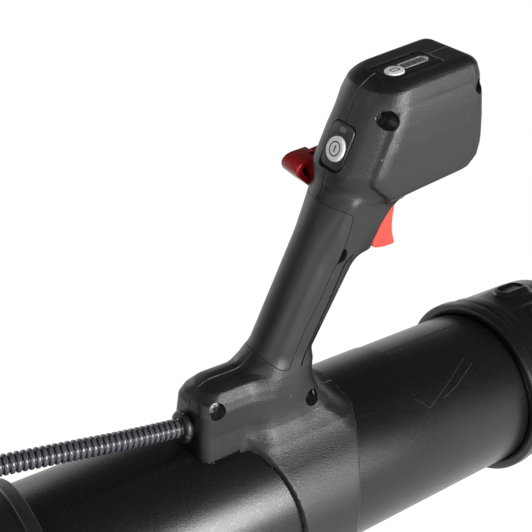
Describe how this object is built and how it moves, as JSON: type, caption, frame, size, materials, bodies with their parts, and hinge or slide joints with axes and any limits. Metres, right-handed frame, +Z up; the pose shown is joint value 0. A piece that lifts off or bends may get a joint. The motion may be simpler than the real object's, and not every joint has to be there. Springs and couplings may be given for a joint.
{
  "type": "backpack leaf blower",
  "caption": "Battery backpack leaf blower: pack frame with scroll fan and batteries, harness, flexible hose, straight blower pipes and a leaning control handle with trigger and lever.",
  "frame": {"origin": "on the floor under the middle of the pack, at the feet's resting plane", "axes": "+X forward along the blower tube towards the nozzle, +Y to the wearer's left, +Z up"},
  "size_m": [1.455, 0.4533, 0.5853],
  "materials": {
    "moulded_handle": "fine textured moulded plastic",
    "satin_pipe": "satin black pipe",
    "pack_plastic": "textured moulded plastic",
    "grey_plastic": "textured grey moulded plastic",
    "soft_rubber": "soft moulded rubber",
    "hose_rubber": "ribbed rubber hose",
    "conduit_nylon": "glossy corrugated conduit",
    "trigger_red": "orange red moulded plastic",
    "lever_red": "dark red moulded plastic",
    "panel_black": "dark button panel",
    "button_grey": "button with a white ring",
    "zinc_steel": "zinc plated steel",
    "black_steel": "black plated screws",
    "motor_steel": "laminated and turned steel",
    "cast_aluminium": "cast and extruded aluminium",
    "board_green": "circuit board",
    "terminal_brass": "terminal blocks",
    "battery_black": "battery case",
    "release_grey": "release button",
    "harness_fabric": "woven nylon over foam",
    "mesh_fabric": "spacer mesh over foam"
  },
  "bodies": {
    "pack": {"back_plate": "pack_plastic", "base_tray": "pack_plastic", "rubber_feet": "soft_rubber", "battery_case": "grey_plastic", "terminal_blocks": "terminal_brass", "carry_handle": "pack_plastic", "controller_case": "cast_aluminium", "controller_heat_sink": "cast_aluminium", "fan_housing_front": "pack_plastic", "fan_housing_rear": "pack_plastic", "housing_screws": "zinc_steel", "intake_grille": "pack_plastic", "motor_mount": "cast_aluminium", "motor_stator": "motor_steel", "motor_bearings": "motor_steel", "vibration_mounts": "soft_rubber", "outlet_elbow": "pack_plastic", "rear_hose_clamp": "zinc_steel", "hose_rear": "hose_rubber", "conduit_rear": "conduit_nylon", "pack_gland": "pack_plastic", "back_pad": "mesh_fabric", "shoulder_strap_left": "harness_fabric", "shoulder_strap_right": "harness_fabric", "waist_belt_left": "harness_fabric", "waist_belt_right": "harness_fabric", "belt_clasp_left": "pack_plastic", "belt_clasp_right": "pack_plastic"},
    "fan": {"impeller": "grey_plastic", "fan_shaft": "motor_steel", "fan_nut": "zinc_steel", "motor_rotor": "motor_steel"},
    "battery_left": {"battery_left": "battery_black"},
    "battery_right": {"battery_right": "battery_black"},
    "release_left": {"release_button_left": "release_grey"},
    "release_right": {"release_button_right": "release_grey"},
    "hose_middle": {"hose_middle_band": "pack_plastic", "hose_front": "hose_rubber", "conduit_front": "conduit_nylon"},
    "tube": {"front_hose_clamp": "zinc_steel", "swivel_pipe": "satin_pipe", "handle_right_shell": "moulded_handle", "handle_left_shell": "moulded_handle", "rubber_grip": "soft_rubber", "handle_screws": "black_steel", "handle_gland": "moulded_handle", "power_panel": "panel_black", "check_panel": "panel_black", "handle_board": "board_green", "trigger_switch": "panel_black", "trigger_pin": "motor_steel", "trigger_spring": "motor_steel"},
    "trigger": {"trigger": "trigger_red"},
    "cruise_lever": {"cruise_lever": "lever_red", "lever_pin": "motor_steel"},
    "power_button": {"power_button": "button_grey"},
    "check_button": {"check_button": "button_grey"},
    "extension": {"extension_pipe": "satin_pipe"},
    "nozzle": {"nozzle": "satin_pipe"}
  },
  "joints": [
    {"name": "hose_pitch", "type": "hinge", "parent": "pack", "child": "hose_middle", "pos_m": [0.182, -0.23, 0.15], "axis": [0, 1, 0], "range_deg": [-30, 30], "deforming": ["hose_rear", "conduit_rear"]},
    {"name": "hose_yaw", "type": "hinge", "parent": "hose_middle", "child": "tube", "pos_m": [0.328, -0.23, 0.15], "axis": [0, 0, 1], "range_deg": [-25, 25], "deforming": ["hose_front", "conduit_front"]},
    {"name": "extension_twist", "type": "hinge", "parent": "tube", "child": "extension", "pos_m": [0.7125, -0.23, 0.15], "axis": [1, 0, 0], "range_deg": [0, 30]},
    {"name": "nozzle_twist", "type": "hinge", "parent": "extension", "child": "nozzle", "pos_m": [0.964, -0.23, 0.15], "axis": [1, 0, 0], "range_deg": [0, 30]},
    {"name": "trigger_pull", "type": "hinge", "parent": "tube", "child": "trigger", "pos_m": [0.61, -0.23, 0.322], "axis": [0, 1, 0], "range_deg": [0, 15], "stiffness_Nm_per_rad": 0.35, "springref_deg": -8.59, "deforming": ["trigger_spring"]},
    {"name": "cruise_lever_turn", "type": "hinge", "parent": "tube", "child": "cruise_lever", "pos_m": [0.604, -0.2034, 0.346], "axis": [0, 1, 0], "range_deg": [0, 60]},
    {"name": "power_button_press", "type": "slide", "parent": "tube", "child": "power_button", "axis": [0.9367, 0, -0.3502], "range_m": [0, 0.0015], "stiffness_N_per_m": 600, "springref_m": -0.001},
    {"name": "check_button_press", "type": "slide", "parent": "tube", "child": "check_button", "axis": [0.1478, 0, -0.989], "range_m": [0, 0.0012], "stiffness_N_per_m": 600, "springref_m": -0.001},
    {"name": "fan_spin", "type": "hinge", "parent": "pack", "child": "fan", "pos_m": [0, 0, 0.23], "axis": [1, 0, 0], "continuous": true},
    {"name": "battery_left_slide", "type": "slide", "parent": "pack", "child": "battery_left", "axis": [0, 0, 1], "range_m": [0, 0.13]},
    {"name": "battery_right_slide", "type": "slide", "parent": "pack", "child": "battery_right", "axis": [0, 0, 1], "range_m": [0, 0.13]},
    {"name": "release_left_press", "type": "slide", "parent": "battery_left", "child": "release_left", "axis": [1, 0, 0], "range_m": [0, 0.003], "stiffness_N_per_m": 500, "springref_m": -0.001},
    {"name": "release_right_press", "type": "slide", "parent": "battery_right", "child": "release_right", "axis": [1, 0, 0], "range_m": [0, 0.003], "stiffness_N_per_m": 500, "springref_m": -0.001}
  ]
}
